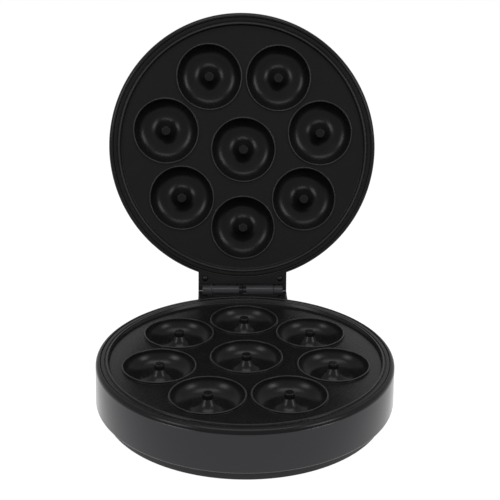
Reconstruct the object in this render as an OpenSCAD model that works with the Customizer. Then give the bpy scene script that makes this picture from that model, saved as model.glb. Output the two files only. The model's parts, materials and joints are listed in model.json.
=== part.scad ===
// Donut maker with eight ring moulds in each half: a round base and a domed lid, joined by a
// two-part hinge at the rear. +X is right, +Y is the hinge side, and the table is at z = 0.
// The lid stands open on its stop. Lengths are in millimetres and angles in degrees.

/* [Body] */
// Radius of the wall's top edge, where base and lid meet
rim_r = 118.3; // [114:0.1:128]
// How much wider the base wall is at its foot
wall_flare = 1; // [0:0.1:3]
// Thickness of the two shells
wall_t = 2; // [1.4:0.1:2.4]
// Height of the parting plane, where base and lid meet
parting_h = 44; // [42:0.5:60]
// Drop from the parting plane to the edge of each shell
rim_drop = 1.7; // [1.2:0.1:2.4]
// Gap that each half keeps to the parting plane
parting_gap = 0.2; // [0.15:0.05:0.35]

/* [Plinth] */
// Height of the plinth under the wall
plinth_h = 10.8; // [9:0.1:13]
// How far the plinth is set in from the wall's foot
plinth_inset = 6.1; // [5:0.1:8]
// Rounding of the wall's foot
foot_round = 4.5; // [3:0.1:5]
// Width of the flat land that the base stands on
land_w = 14; // [12.5:0.5:18]
// Thickness of the bottom cover
cover_t = 2.4; // [1.6:0.1:3]
// Rise of the bottom panel inside the land
panel_rise = 3; // [1.5:0.5:4]

/* [Frame] */
// Width of the black rim, from the shell's edge in to the plate
rim_w = 4; // [3.4:0.1:5]
// Width of the rim's rounded shoulder
shoulder_w = 2; // [1:0.1:2.4]
// Width of the ledge that the plate rests on
ledge_w = 11.6; // [10.6:0.1:13]
// Thickness of that ledge
ledge_t = 2.5; // [2:0.1:3]

/* [Cooking plate] */
// Thickness of the cast plate
plate_t = 2.4; // [2:0.1:3]
// Drop from the parting plane to the flat of the plate
flat_drop = 3.1; // [2.6:0.1:4]
// Width of the flat flange round the plate
flange_w = 2.8; // [2:0.1:3.5]
// Width of the groove inside the flange
groove_w = 1.2; // [1:0.1:2]
// Width of the raised bead inside the groove
bead_w = 1.7; // [1.2:0.1:2.5]

/* [Moulds] */
// Radius of a mould's mouth
mould_r = 26.8; // [22:0.1:29]
// Clear gap between the outer moulds and the ledge
mould_gap = 3.8; // [3:0.1:6]
// Least width of the flat between two moulds' lips
web_w = 3; // [2:0.1:5]
// Depth of a mould below its lip
mould_depth = 13.5; // [11:0.5:15]
// Radius of the post that makes the donut's hole
post_r = 4.2; // [3.5:0.1:6]
// Width of the lip round a mould
lip_w = 1.65; // [1.2:0.05:1.8]
// Height of that lip above the flat
lip_h = 1.7; // [1.2:0.1:2.2]

/* [Hinge] */
// Distance of the hinge axis behind the wall's top edge
hinge_back = 9.6; // [9:0.1:12]
// Angle that the lid opens to
open_deg = 101.75; // [95:0.25:105]
// Radius of the knuckles
barrel_r = 4.8; // [4.2:0.1:5]
// Half width of the tongues that carry them
tongue_hw = 40; // [39.5:0.5:44]
// Thickness of a tongue
tongue_t = 8; // [8:0.5:10]
// Gap from the middle of the hinge to each long knuckle
barrel_x = 3; // [2:0.5:5]
// Length of the long knuckle
barrel_len = 24; // [20:0.5:24]
// Length of the short knuckle
ear_len = 8.5; // [6:0.5:8.5]
// Gap between neighbouring knuckles
knuckle_gap = 1; // [0.6:0.1:1.2]
// Distance from the hinge axis to the face that the lid stops on
stop_d = 5.8; // [5.6:0.1:6.2]
// Gap that is left at the stop
stop_gap = 0.3; // [0.2:0.05:0.4]
// Radius of the hinge pins
pin_r = 1.6; // [1.2:0.1:2]
// Length of a hinge pin
pin_len = 24; // [16:0.5:28]
// Running clearance of a pin in the long knuckle
run_gap = 0.05; // [0.03:0.01:0.09]

/* [Lid] */
// Height of the lid's dome above the parting plane
dome_h = 40; // [38:0.5:55]
// Radius of the handle's centre line
handle_r = 92; // [84:1:94]
// Radial width of the handle
handle_w = 16; // [12:1:18]
// Thickness of the handle
handle_t = 9; // [7:0.5:12]
// Clear height under the handle at its inner edge
handle_gap = 16; // [14:1:24]
// Angle that the handle spans
handle_deg = 40; // [32:1:50]
// Radius of the indicator lenses
lens_r = 4; // [3:0.1:5]
// Distance of the lenses in front of the lid's centre
lens_y = 55; // [45:1:60]
// Half distance between the lenses
lens_x = 11; // [8:0.5:16]

/* [Heating] */
// Radius of the heater tube
tube_r = 3.3; // [3:0.1:3.5]
// Angle of the gap between the heater's ends
heater_gap_deg = 24; // [20:1:40]
// Thickness of the sheet steel pieces
sheet_t = 0.8; // [0.5:0.1:1]
// Radius of the thermostat's ceramic body
stat_r = 6.5; // [5.5:0.1:7]
// Radius of the thermal fuse
fuse_r = 2; // [1.6:0.1:2.4]

/* [Fasteners and small parts] */
// Radius of a screw's shank
screw_r = 1.4; // [1.2:0.05:1.5]
// Radius of a screw's head
head_r = 2.3; // [2:0.1:2.5]
// Height of a screw's head
head_h = 1.5; // [1.2:0.1:1.8]
// Number of screws in the bottom cover
cover_screws = 6; // [4:1:6]
// Radius of the rubber feet
foot_r = 5; // [4:0.1:5.4]
// Depth of the pockets that hold them
foot_t = 1.5; // [1:0.1:1.6]
// Number of vent slots in the bottom
vent_count = 12; // [8:1:16]
// Width of a vent slot
vent_w = 3; // [2:0.1:4]
// Length of a vent slot
vent_len = 20; // [12:1:24]
// Radius of the hole for the mains cord
cord_r = 3.4; // [3:0.1:4]

/* [Hidden] */
$fn = 96;

// Small clearances: loose fit, screw in its hole, pressed pin, and the overlap of joined solids
loose = 0.3;
screw_fit = 0.3;
bite = 0.05;
press_fit = 0.02;
join = 1;
edge_round = 1.2;
far = 400;

// Radii, from the wall inwards
wall_foot_r = rim_r + wall_flare;
plinth_r = wall_foot_r - plinth_inset;
plate_r = rim_r - rim_w;
pocket_r = plate_r + loose;
ledge_r = pocket_r - ledge_w;
land_r = plinth_r - edge_round;
bead_r = plate_r - flange_w - groove_w;
field_r = bead_r - bead_w;
tower_r = screw_r + 2.1;
cover_screw_r = ledge_r + tower_r;
plate_screw_r = bead_r - bead_w / 2 + 0.5;
reflector_r = ledge_r - 0.7;

// Heights in a half, from the parting plane into it
seat_z = -flat_drop - plate_t;
ledge_z = seat_z - ledge_t;
lip_z = -flat_drop + lip_h;
bowl_z = lip_z - mould_depth - plate_t;
heater_z = bowl_z - tube_r - 0.1;
clip_z = heater_z - tube_r - 0.1;
reflector_z = clip_z - sheet_t;
tail_len = 3;
tail_z = reflector_z - sheet_t - tail_len;
tail_r = tube_r - 0.4;

// Heights above the table
shell_top = parting_h - rim_drop;
panel_top = panel_rise + cover_t;
tower_top = plinth_h + 1.2;
tower_web = 3.5;
cover_thread = 11;
cord_z = (plinth_h + foot_round + parting_h + ledge_z) / 2;

// Moulds: the outer ones lie just inside the ledge, as many as the web leaves room for
mould_ring_r = ledge_r - mould_gap - plate_t - mould_r;
mould_count = floor(180 / asin((mould_r + lip_w + web_w / 2) / mould_ring_r));
mould_step = 360 / mould_count;
tail_in_deg = asin(tube_r / mould_ring_r);
mould_mid_r = (mould_r + post_r) / 2;
mould_half_w = (mould_r - post_r) / 2;
// Free spots, each equally far from the middle mould and two others
spot_r = mould_ring_r / 2 / cos(mould_step / 2);
boss_spots = [0, 2, 4];
stat_spot = 3;
fuse_spot = 1;
boss_r = 4;
small_screw_r = 0.85;
small_boss_r = small_screw_r + 1;
thread_len = 7;
stat_z = seat_z - 3.1;
stat_screw_y = stat_r + small_boss_r + 0.75;
stat_t = 9;
fuse_z = seat_z - 2;
fuse_x = 6;
fuse_len = 11;
clip_w = 8;

// Hinge
hinge_y = rim_r + hinge_back;
tongue_back = hinge_y - stop_d;
tongue_front = sqrt(pow(pocket_r, 2) - pow(tongue_hw, 2)) + 0.5;
ear_x = barrel_x + barrel_len + knuckle_gap;
cheek_t = tongue_hw - ear_x - ear_len - 0.5;
hinge_screw_x = ear_x + ear_len * 0.7;
hinge_screw_y = tongue_back - head_r - 3.2;
lug_len = 9.2;
pin_end_x = ear_x + ear_len - 0.2;
lug_tilt = open_deg - 90;
block_h = 10;

// Dome of the lid
dome_pow = 0.8;
function dome_drop(r, inset) = rim_drop + (dome_h - rim_drop - inset)
    * pow(sin(acos(pow(r / (rim_r - inset), 1 / dome_pow))), dome_pow);
handle_top = dome_drop(handle_r - handle_w / 2, 0) + handle_gap;
handle_screw_z = dome_drop(handle_r + head_r, wall_t);
handle_screw_len = wall_t + 10;
foot_deg = 6;
lens_mid_r = sqrt(pow(lens_x, 2) + pow(lens_y, 2));
lens_z = dome_drop(lens_mid_r, 0);
flange_z = dome_drop(lens_mid_r + lens_r + 1.4, wall_t) - 0.1;
sleeve_z = -reflector_z + sheet_t + 1;
lamp_r = lens_r - 1.5;

// Wiring parts in the base
gland_r = cord_r + 1.6;
gland_in = wall_foot_r - wall_t - 4.5;
cord_deg = 28;
block_len = 44;
block_w = 14;
block_air = 3.9;
block_y = reflector_r - 26.3;
block_t = parting_h + reflector_z - sheet_t - block_air - panel_top;
block_peg_x = block_len / 2 - 3.5;
peg_r = 1.5;
wire_r = block_t / 5;

function arc(cx, cz, rx, rz, from, to, steps) =
    [for (i = [0:steps]) let (a = from + (to - from) * i / steps) [cx + rx * cos(a), cz + rz * sin(a)]];

// Places a half's solids in the base, or turned over and swung open in the lid
module in_base() {
    translate([0, 0, parting_h]) children();
}

module in_lid() {
    translate([0, hinge_y, parting_h]) rotate([-open_deg, 0, 0]) translate([0, -hinge_y, 0])
        rotate([0, 180, 0]) children();
}

// Puts its children at every mould, the middle one first
module at_moulds() {
    children();
    for (i = [0:mould_count - 1]) rotate(90 + i * mould_step) translate([mould_ring_r, 0, 0]) children();
}

// Puts its children at one free spot between the moulds
module at_spot(i) {
    rotate(90 + (i + 0.5) * mould_step) translate([spot_r, 0, 0]) children();
}

// Extrudes a side profile, drawn in y and z, from one x to another
module along_x(from, to) {
    translate([from, 0, 0]) rotate([90, 0, 90]) linear_extrude(to - from) children();
}

// A screw whose head rests on z = 0, with its shank going up
module screw(length, shank = screw_r) {
    cylinder(r = shank, h = length);
    translate([0, 0, -head_h]) cylinder(r = head_r, h = head_h);
}

// Ring of the frame: ledge, upstand, crest and rounded shoulder over the shell's edge
module frame_ring() {
    crest_r = rim_r - shoulder_w;
    skirt_top_r = rim_r - wall_t - loose;
    rotate_extrude() polygon(concat(
        [[ledge_r, ledge_z], [ledge_r, seat_z], [pocket_r, seat_z], [pocket_r, -0.6],
         [pocket_r + 0.4, -parting_gap]],
        arc(crest_r, -rim_drop, shoulder_w, rim_drop - parting_gap, 90, 0, 6),
        [[skirt_top_r, -rim_drop], [skirt_top_r - 0.7, ledge_z]]));
}

// One knuckle, drawn round the hinge axis, with the web that joins it to the tongue
module knuckle(from, to, back) {
    translate([from, 0, 0]) rotate([0, 90, 0]) cylinder(r = barrel_r, h = to - from);
    along_x(from, to) polygon(concat(
        [[-stop_d - join, -parting_gap], [-stop_d - join, -tongue_t]], back, [[0, -parting_gap]]));
}

// The frame moulding, the same in base and lid: ring, tongue, two knuckles and two cheeks.
// The upper face of the lug behind the long knuckle meets the other tongue when the lid is open.
module frame_moulding() {
    lug_face = stop_d - stop_gap;
    lug_foot = 2.5;
    difference() {
        union() {
            frame_ring();
            translate([-tongue_hw, tongue_front, -tongue_t])
                cube([2 * tongue_hw, tongue_back - tongue_front, tongue_t - parting_gap]);
            translate([0, hinge_y, 0]) {
                knuckle(-barrel_x - barrel_len, -barrel_x, [[0, -tongue_t], [lug_len * 0.7, -tongue_t],
                    [lug_len, -tongue_t + 3],
                    [lug_len, (lug_face - lug_len * sin(lug_tilt)) / cos(lug_tilt)],
                    [lug_foot, (lug_face - lug_foot * sin(lug_tilt)) / cos(lug_tilt)],
                    [1, barrel_r * 0.9]]);
                knuckle(ear_x, ear_x + ear_len, [[0.5, -tongue_t], [barrel_r, -tongue_t / 2],
                    [barrel_r, 0]]);
                for (x = [-tongue_hw, tongue_hw - cheek_t]) translate([x, -stop_d - join, -tongue_t])
                    cube([cheek_t, stop_d + join - 0.4, tongue_t - parting_gap]);
            }
        }
        translate([0, 0, seat_z]) cylinder(r = pocket_r, h = -seat_z + 1);
        translate([0, hinge_y, 0]) rotate([0, 90, 0]) {
            translate([0, 0, -ear_x]) cylinder(r = pin_r + run_gap, h = pin_end_x + ear_x - pin_len + 1);
            translate([0, 0, ear_x - join]) cylinder(r = pin_r + press_fit, h = ear_len + 2 * join);
            for (z = [-tongue_hw - join, ear_x + ear_len]) translate([0, 0, z])
                cylinder(r = pin_r + loose, h = cheek_t + join + 0.5);
        }
        for (a = [45:90:315]) rotate(a) translate([plate_screw_r, 0, ledge_z - 1])
            cylinder(r = screw_r + screw_fit, h = ledge_t + 2);
        for (x = [-hinge_screw_x, hinge_screw_x]) translate([x, hinge_screw_y, 0]) {
            translate([0, 0, -tongue_t - 1]) cylinder(r = screw_r + screw_fit, h = tongue_t + 2);
            translate([0, 0, -parting_gap - head_h - 0.3]) cylinder(r = head_r + screw_fit, h = far);
        }
    }
}

// Block under the tongue, moulded with a shell: its back stands in line with the tongue's
module hinge_block() {
    y_in = tongue_front - 2;
    translate([0, 0, -tongue_t]) along_x(-tongue_hw, tongue_hw) polygon([[y_in, 0],
        [tongue_back, 0], [tongue_back, -block_h / 2], [tongue_back - 3, -block_h + 1],
        [tongue_back - 5, -block_h], [y_in, -block_h]]);
}

// Cuts a shell for the tongue above the block, and drills the block for the tongue's screws
module tongue_cuts() {
    translate([-tongue_hw - loose, 0, -tongue_t]) cube([2 * (tongue_hw + loose), far, tongue_t + 1]);
    for (x = [-hinge_screw_x, hinge_screw_x]) translate([x, hinge_screw_y, -tongue_t - block_h + 2])
        cylinder(r = screw_r + bite, h = block_h);
}

module hinge_screws() {
    for (x = [-hinge_screw_x, hinge_screw_x])
        translate([x, hinge_screw_y, -parting_gap - head_h - 0.3]) rotate([180, 0, 0])
            screw(tongue_t + 4);
}

// Steel pin, pressed into the short knuckle and running in the other half's long one
module hinge_pin() {
    translate([pin_end_x - pin_len, hinge_y, 0]) rotate([0, 90, 0]) cylinder(r = pin_r, h = pin_len);
}

// Underside and lip of one mould, before it is hollowed
module mould_body() {
    skin_w = mould_half_w + plate_t;
    skin_h = mould_depth + plate_t;
    lip_r = mould_r + lip_w;
    rotate_extrude() polygon(concat(
        [[0, -flat_drop - 0.1]],
        [for (p = arc(mould_mid_r, lip_z, skin_w, -skin_h, 12, 118, 12)) p],
        [[mould_mid_r * 0.32, bowl_z + 6], [0, bowl_z + 6.8]]));
    rotate_extrude() polygon([[0, seat_z + 0.1], [lip_r - 0.2, seat_z + 0.1], [lip_r, -flat_drop - 0.1],
        [lip_r - 0.15, lip_z - 0.6], [lip_r - 0.6, lip_z], [0, lip_z]]);
}

// Ring-shaped hollow of one mould, round its post
module mould_hollow() {
    rotate_extrude() polygon(concat(
        [[mould_r + 1.1, lip_z + 0.5], [mould_r + 0.45, lip_z], [mould_r, lip_z - 0.5]],
        arc(mould_mid_r, lip_z, mould_half_w, -mould_depth, 6, 168, 18),
        [[post_r - 0.1, lip_z - 0.7], [post_r - 0.6, lip_z], [post_r - 0.6, lip_z + 0.5]]));
}

// Cast plate: field, bead, groove and flange, with a mould at the middle and a ring of them
module cooking_plate() {
    difference() {
        union() {
            rotate_extrude() polygon([[0, seat_z], [plate_r, seat_z], [plate_r, -0.85],
                [plate_r - 0.3, -0.55], [bead_r + groove_w, -0.55], [bead_r + groove_w - 0.3, -1.1],
                [bead_r + 0.3, -1.1], [bead_r, -0.4], [bead_r - 0.4, -parting_gap],
                [field_r + 0.5, -parting_gap], [field_r, -0.5], [field_r - 1.1, -flat_drop],
                [0, -flat_drop]]);
            for (a = [-110.5, -69.5]) rotate(a - 2) rotate_extrude(angle = 4)
                translate([field_r - 0.6, seat_z + 1])
                    square([plate_r - field_r - 0.2, flat_drop + plate_t - 1.45]);
            at_moulds() mould_body();
            for (i = boss_spots) at_spot(i) translate([0, 0, clip_z])
                cylinder(r = boss_r, h = seat_z - clip_z + 1);
            for (y = [-stat_screw_y, stat_screw_y]) at_spot(stat_spot) translate([0, y, stat_z])
                cylinder(r = small_boss_r, h = seat_z - stat_z + 1);
            at_spot(fuse_spot) translate([0, 0, fuse_z])
                cylinder(r = screw_r + 1.4, h = seat_z - fuse_z + 1);
        }
        at_moulds() mould_hollow();
        for (i = boss_spots) at_spot(i) translate([0, 0, clip_z - 1])
            cylinder(r = screw_r + bite, h = thread_len + 3);
        for (y = [-stat_screw_y, stat_screw_y]) at_spot(stat_spot) translate([0, y, stat_z - 1])
            cylinder(r = small_screw_r + bite, h = 5);
        at_spot(fuse_spot) translate([0, 0, fuse_z - 1]) cylinder(r = small_screw_r + bite, h = 5);
        for (a = [45:90:315]) rotate(a) translate([plate_screw_r, 0, seat_z - 1])
            cylinder(r = screw_r + bite, h = 4.4);
    }
}

module plate_screws() {
    for (a = [45:90:315]) rotate(a) translate([plate_screw_r, 0, ledge_z]) screw(ledge_t + 3);
}

// Puts its children at the two ends of the heater
module at_heater_ends() {
    for (side = [-1, 1]) rotate(90 + side * (heater_gap_deg / 2 + tail_in_deg))
        translate([mould_ring_r, 0, 0]) children();
}

// Heater tube under the moulds, with a sealed tail and a terminal at each end
module heater() {
    translate([0, 0, heater_z]) rotate(90 + heater_gap_deg / 2)
        rotate_extrude(angle = 360 - heater_gap_deg) translate([mould_ring_r, 0]) circle(r = tube_r);
    at_heater_ends() {
        translate([0, 0, tail_z]) cylinder(r = tail_r, h = heater_z - tail_z);
        translate([0, 0, tail_z - 1.4]) cylinder(r = 1, h = 2);
    }
}

// Sheet clips that press the heater up against the moulds
module heater_clips() {
    clip_back = boss_r + 1;
    reach = mould_ring_r - spot_r + tube_r + 0.5;
    for (i = boss_spots) at_spot(i) difference() {
        union() {
            translate([-clip_back, -clip_w / 2, clip_z - sheet_t])
                cube([reach + clip_back, clip_w, sheet_t]);
            translate([reach, -clip_w / 2, clip_z - sheet_t])
                cube([sheet_t, clip_w, tube_r + sheet_t]);
        }
        translate([0, 0, clip_z - 2]) cylinder(r = screw_r + screw_fit, h = 4);
    }
}

// Sheet steel dish that closes the heating space behind the plate
module reflector() {
    wall_r = reflector_r - 1.5 - sheet_t;
    floor_r = wall_r - 12;
    slope_z = (seat_z + reflector_z) / 2 - 1.5;
    difference() {
        rotate_extrude() polygon([[0, reflector_z - sheet_t], [floor_r + 0.3, reflector_z - sheet_t],
            [wall_r + sheet_t, slope_z - 0.3], [wall_r + sheet_t, seat_z - sheet_t],
            [reflector_r, seat_z - sheet_t], [reflector_r, seat_z], [wall_r, seat_z], [wall_r, slope_z],
            [floor_r, reflector_z], [0, reflector_z]]);
        for (i = boss_spots) at_spot(i) translate([0, 0, reflector_z - 2])
            cylinder(r = screw_r + screw_fit, h = 4);
        at_heater_ends() translate([0, 0, reflector_z - 2]) cylinder(r = tail_r + loose, h = 4);
    }
}

module reflector_screws() {
    for (i = boss_spots) at_spot(i) translate([0, 0, reflector_z - sheet_t])
        screw(2 * sheet_t + thread_len);
}

// Puts its children on a level line out through the wall, beside the hinge block
module at_cord() {
    translate([0, 0, cord_z]) rotate([-90, 0, -cord_deg]) children();
}

// Outer and inner form of the base wall, as solids of revolution above the table
module base_wall_solid(inset, top) {
    foot_r = wall_foot_r - foot_round;
    rotate_extrude() polygon(concat([[0, plinth_h + inset]],
        arc(foot_r, plinth_h + foot_round, foot_round - inset, foot_round - inset, -90, 0, 8),
        [[rim_r - inset, shell_top], [rim_r - inset, top], [0, top]]));
}

// Outer and inner form of the dome
module dome_solid(inset, top) {
    steps = 26;
    span_r = rim_r - inset;
    span_h = dome_h - rim_drop - inset;
    rotate_extrude() polygon(concat([[0, top], [span_r, top]],
        [for (i = [0:steps - 1]) let (a = 90 * i / steps)
            [span_r * pow(cos(a), dome_pow), -rim_drop - span_h * pow(sin(a), dome_pow)]],
        [[0, inset - dome_h]]));
}

module base_frame() {
    color("#1a1a1b") in_base() {
        frame_moulding();
        for (i = [0:cover_screws - 1]) rotate(i * 360 / cover_screws)
            translate([cover_screw_r, 0, tower_top - parting_h]) difference() {
                cylinder(r = tower_r, h = parting_h - tower_top + ledge_z + join);
                translate([0, 0, -1]) cylinder(r = screw_r + bite, h = cover_thread + 3);
            }
    }
}

module base_shell() {
    color("#57565c") difference() {
        union() {
            base_wall_solid(0, shell_top);
            in_base() hinge_block();
        }
        base_wall_solid(wall_t, parting_h + 10);
        translate([0, 0, plinth_h - 1]) cylinder(r = plinth_r - cover_t + loose, h = wall_t + 2);
        in_base() tongue_cuts();
        at_cord() cylinder(r = gland_r + screw_fit, h = far);
    }
}

module at_feet() {
    for (a = [45:90:315]) rotate(a) translate([plinth_r - edge_round - land_w / 2, 0, 0]) children();
}

module bottom_cover() {
    wall_in = plinth_r - cover_t;
    land_in = plinth_r - edge_round - land_w;
    panel_t = panel_top - panel_rise;
    vent_r = land_in * 0.6;
    color("#3d3d40") difference() {
        union() {
            rotate_extrude() polygon(concat([[0, panel_rise], [land_in - 1, panel_rise], [land_in, 0]],
                arc(land_r, edge_round, edge_round, edge_round, -90, 0, 4),
                [[plinth_r, plinth_h], [wall_in, plinth_h], [wall_in, cover_t], [land_in + 1.6, cover_t],
                 [land_in + 0.4, panel_top], [0, panel_top]]));
            for (i = [0:cover_screws - 1]) rotate(i * 360 / cover_screws)
                translate([cover_screw_r, 0, 0.5]) cylinder(r = tower_r + 0.5, h = tower_top - 0.5);
            for (x = [-block_peg_x, block_peg_x]) translate([x, block_y, panel_top - 1])
                cylinder(r = peg_r, h = block_t + 1.5);
        }
        for (i = [0:cover_screws - 1]) rotate(i * 360 / cover_screws)
            translate([cover_screw_r, 0, -1]) {
            cylinder(r = head_r + screw_fit, h = tower_top - tower_web + 1);
            cylinder(r = screw_r + screw_fit, h = tower_top + 2);
        }
        for (i = [0:vent_count - 1]) rotate((i + 0.5) * 360 / vent_count)
            translate([vent_r, 0, panel_rise - 1]) linear_extrude(panel_t + 2) union() {
                translate([-vent_len / 2, -vent_w / 2]) square([vent_len, vent_w]);
                for (x = [-vent_len / 2, vent_len / 2]) translate([x, 0]) circle(r = vent_w / 2);
            }
        at_feet() translate([0, 0, -1]) cylinder(r = foot_r + press_fit, h = foot_t + 1);
    }
}

module rubber_feet() {
    color("#222222") at_feet() cylinder(r = foot_r, h = foot_t);
}

module bottom_screws() {
    color("silver") for (i = [0:cover_screws - 1]) rotate(i * 360 / cover_screws)
        translate([cover_screw_r, 0, tower_top - tower_web]) screw(tower_web + cover_thread);
}

module base_hinge_screws() {
    color("silver") in_base() hinge_screws();
}

module base_hinge_pin() {
    color("silver") in_base() hinge_pin();
}

module lower_plate() {
    color("#1e1e1f") in_base() cooking_plate();
}

module lower_plate_screws() {
    color("silver") in_base() plate_screws();
}

module lower_heater() {
    color("#8a7a6a") in_base() heater();
}

module lower_heater_clips() {
    color("silver") in_base() heater_clips();
}

module lower_reflector() {
    color("silver") in_base() reflector();
}

module lower_reflector_screws() {
    color("silver") in_base() reflector_screws();
}

// Snap-disc thermostat: cap against the plate, ceramic body, flange with ears and two blades
module thermostat() {
    blade_w = 5;
    color("#d8d0c0") in_base() at_spot(stat_spot) {
        translate([0, 0, stat_z]) cylinder(r = stat_r + 0.5, h = seat_z - stat_z - 0.1);
        difference() {
            translate([-stat_r * 0.75, -stat_screw_y - 3, stat_z - sheet_t])
                cube([stat_r * 1.1, 2 * stat_screw_y + 6, sheet_t]);
            for (y = [-stat_screw_y, stat_screw_y]) translate([0, y, stat_z - 2])
                cylinder(r = small_screw_r + 0.2, h = 4);
        }
        translate([0, 0, stat_z - sheet_t - stat_t]) cylinder(r = stat_r, h = stat_t + 0.1);
        for (y = [-1, 1]) translate([-blade_w / 2, y * stat_r / 2 - sheet_t / 2, stat_z - sheet_t - stat_t - 4])
            cube([blade_w, sheet_t, blade_w]);
    }
}

module thermostat_screws() {
    color("silver") in_base() for (y = [-stat_screw_y, stat_screw_y]) at_spot(stat_spot)
        translate([0, y, stat_z - sheet_t]) {
            cylinder(r = small_screw_r, h = sheet_t + 3.5);
            translate([0, 0, -1]) cylinder(r = 2 * small_screw_r, h = 1);
        }
}

// Thermal fuse with its two leads, held against the plate's boss by a clip and a screw
module thermal_fuse() {
    color("#b8a070") in_base() at_spot(fuse_spot) translate([fuse_x, 0, fuse_z - sheet_t - fuse_r])
        rotate([90, 0, 0]) {
            cylinder(r = fuse_r, h = fuse_len, center = true);
            cylinder(r = fuse_r / 4, h = fuse_len + 8, center = true);
        }
}

module fuse_clip() {
    color("silver") in_base() at_spot(fuse_spot) difference() {
        union() {
            translate([-3, -3, fuse_z - sheet_t]) cube([fuse_x + 3, 6, sheet_t]);
            translate([fuse_x, 0, fuse_z - sheet_t - fuse_r]) rotate([90, 0, 0])
                cylinder(r = fuse_r + sheet_t, h = 6, center = true);
        }
        translate([fuse_x, 0, fuse_z - sheet_t - fuse_r]) rotate([90, 0, 0])
            cylinder(r = fuse_r + press_fit, h = 8, center = true);
        translate([0, 0, fuse_z - 2]) cylinder(r = small_screw_r + 0.2, h = 4);
    }
}

// Ceramic terminal block on two pegs of the bottom cover
module terminal_block() {
    way_step = block_peg_x * 2 / 3;
    color("#e0dccf") translate([0, block_y, panel_top]) difference() {
        translate([-block_len / 2, -block_w / 2, 0]) cube([block_len, block_w, block_t]);
        for (i = [-1:1]) translate([i * way_step, 0, 0]) {
            translate([0, 0, block_t / 2]) cylinder(r = wire_r * 1.3, h = block_t);
            translate([0, 0, 2 * wire_r]) rotate([90, 0, 0])
                cylinder(r = wire_r, h = block_w + 2, center = true);
        }
        for (x = [-block_peg_x, block_peg_x]) translate([x, 0, -1])
            cylinder(r = peg_r + press_fit, h = block_t + 2);
    }
}

// Bush for the mains cord, snapped into the rear of the wall
module cord_gland() {
    color("#1a1a1b") at_cord() difference() {
        union() {
            translate([0, 0, wall_foot_r]) cylinder(r1 = gland_r + 2, r2 = gland_r + 1, h = 1.6);
            translate([0, 0, gland_in]) cylinder(r = gland_r, h = wall_foot_r - gland_in + 0.5);
            translate([0, 0, gland_in]) cylinder(r1 = gland_r, r2 = gland_r + 1.2, h = 2.6);
        }
        cylinder(r = cord_r, h = far);
    }
}

module lid_frame() {
    color("#1a1a1b") in_lid() frame_moulding();
}

module at_handle_screws() {
    for (a = [-1, 1]) rotate(-90 + a * (handle_deg / 2 - foot_deg / 2)) translate([handle_r, 0, 0])
        children();
}

module lid_shell() {
    hook_w = 8;
    hook_t = 2.2;
    color("#57565c") in_lid() difference() {
        union() {
            dome_solid(0, -rim_drop);
            hinge_block();
        }
        difference() {
            dome_solid(wall_t, 5);
            for (a = [-150, -110, -70, -30]) rotate(a)
                translate([rim_r - wall_t - 3, -hook_w / 2, ledge_z - hook_t - loose])
                    cube([wall_t + 3, hook_w, hook_t]);
        }
        tongue_cuts();
        for (x = [-lens_x, lens_x]) translate([x, -lens_y, -dome_h - 1])
            cylinder(r = lens_r + screw_fit, h = dome_h / 2);
        at_handle_screws() translate([0, 0, -handle_top]) cylinder(r = screw_r + screw_fit, h = handle_top);
    }
}

// Arched grip over the front of the dome: a rounded bar on two feet that follow the dome
module lid_handle() {
    r1 = handle_r - handle_w / 2;
    r2 = handle_r + handle_w / 2;
    top = handle_top + handle_t;
    round = 2.5;
    color("#1a1a1b") in_lid() difference() {
        union() {
            rotate(-90 - handle_deg / 2) rotate_extrude(angle = handle_deg) polygon(concat(
                [[r1, -handle_top], [r2, -handle_top]],
                arc(r2 - round, -top + round, round, round, 0, -90, 5),
                arc(r1 + round, -top + round, round, round, -90, -180, 5)));
            for (a = [0.5 - handle_deg / 2, handle_deg / 2 - 0.5 - foot_deg]) rotate(-90 + a)
                rotate_extrude(angle = foot_deg) polygon([[r1 + 1, -handle_top - 2],
                    [r2 - 1, -handle_top - 2], [r2 - 1, -rim_drop - 5], [r1 + 1, -rim_drop - 5]]);
        }
        dome_solid(-0.02, -rim_drop + 1);
        at_handle_screws() translate([0, 0, -handle_screw_z - handle_screw_len - 1])
            cylinder(r = screw_r + bite, h = handle_screw_z + handle_screw_len);
    }
}

module handle_screws() {
    color("silver") in_lid() at_handle_screws() translate([0, 0, -handle_screw_z]) rotate([180, 0, 0])
        screw(handle_screw_len);
}

module lid_hinge_screws() {
    color("silver") in_lid() hinge_screws();
}

module lid_hinge_pin() {
    color("silver") in_lid() hinge_pin();
}

module upper_plate() {
    color("#1e1e1f") in_lid() cooking_plate();
}

module upper_plate_screws() {
    color("silver") in_lid() plate_screws();
}

module upper_heater() {
    color("#8a7a6a") in_lid() heater();
}

module upper_heater_clips() {
    color("silver") in_lid() heater_clips();
}

module upper_reflector() {
    color("silver") in_lid() reflector();
}

module upper_reflector_screws() {
    color("silver") in_lid() reflector_screws();
}

// Indicator lens: a cap outside the dome, a flange inside it and a sleeve that holds the lamp
module lens(side) {
    in_lid() translate([side * lens_x, -lens_y, 0]) difference() {
        union() {
            translate([0, 0, -lens_z - 1.4]) cylinder(r1 = lens_r - 0.8, r2 = lens_r, h = 1);
            translate([0, 0, -lens_z - 0.4]) cylinder(r = lens_r, h = lens_z - sleeve_z + 0.4);
            translate([0, 0, -flange_z]) cylinder(r = lens_r + 1.4, h = 1);
        }
        translate([0, 0, -lens_z + 1]) cylinder(r = lamp_r + 0.1, h = far);
    }
}

module power_lens() {
    color("#c03028") lens(-1);
}

module ready_lens() {
    color("#30a050") lens(1);
}

// Neon lamps in the lenses' sleeves
module neon_lamps() {
    color("#f0d0b0") in_lid() for (x = [-lens_x, lens_x]) translate([x, -lens_y, -lens_z + 1.2])
        cylinder(r = lamp_r, h = lens_z - sleeve_z - 1.2);
}

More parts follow.
